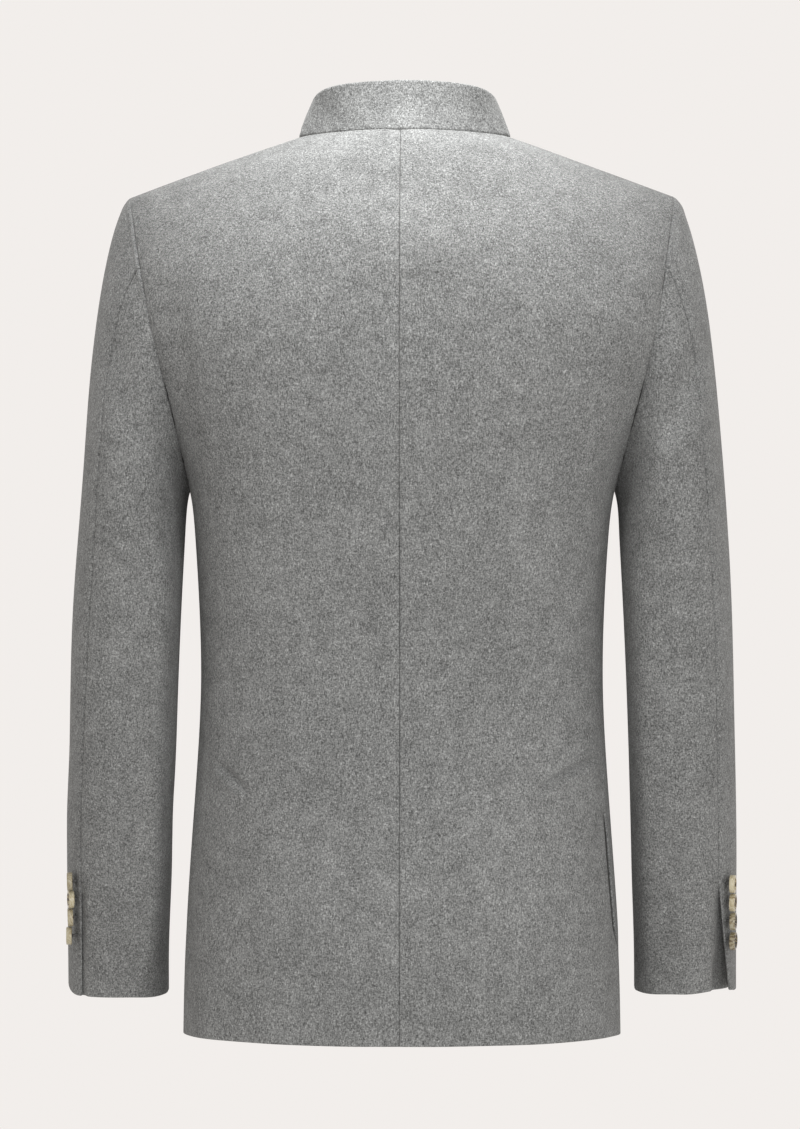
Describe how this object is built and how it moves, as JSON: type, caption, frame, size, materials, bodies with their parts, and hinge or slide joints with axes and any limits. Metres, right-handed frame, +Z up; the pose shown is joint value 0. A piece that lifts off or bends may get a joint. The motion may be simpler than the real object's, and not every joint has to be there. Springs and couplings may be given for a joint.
{
  "type": "loden jacket",
  "caption": "Hip-length wool loden jacket with a stand collar, set-in two-piece sleeves with buttoned cuff vents, side vents and a lapped button front, filled out as worn.",
  "frame": {"origin": "middle of the neck base, between the two side-neck points where the shoulder seams meet the collar", "axes": "+Z up, +Y towards the wearer's front, +X towards the wearer's right; the pictured back faces -Y"},
  "size_m": [0.545, 0.2663, 0.763],
  "materials": {
    "loden": "fulled grey melange wool, soft nap, no visible weave",
    "horn": "polished natural horn, cream with brown mottling"
  },
  "bodies": {
    "root": {"back_left": "loden", "back_right": "loden", "front_left": "loden", "front_right": "loden", "sleeve_top_left": "loden", "sleeve_top_right": "loden", "sleeve_under_left": "loden", "sleeve_under_right": "loden", "collar": "loden", "cuff_button_left_1": "horn", "cuff_button_left_2": "horn", "cuff_button_left_3": "horn", "cuff_button_left_4": "horn", "cuff_button_right_1": "horn", "cuff_button_right_2": "horn", "cuff_button_right_3": "horn", "cuff_button_right_4": "horn", "front_button_1": "horn", "front_button_2": "horn", "front_button_3": "horn", "front_button_4": "horn", "front_button_5": "horn"}
  },
  "joints": []
}
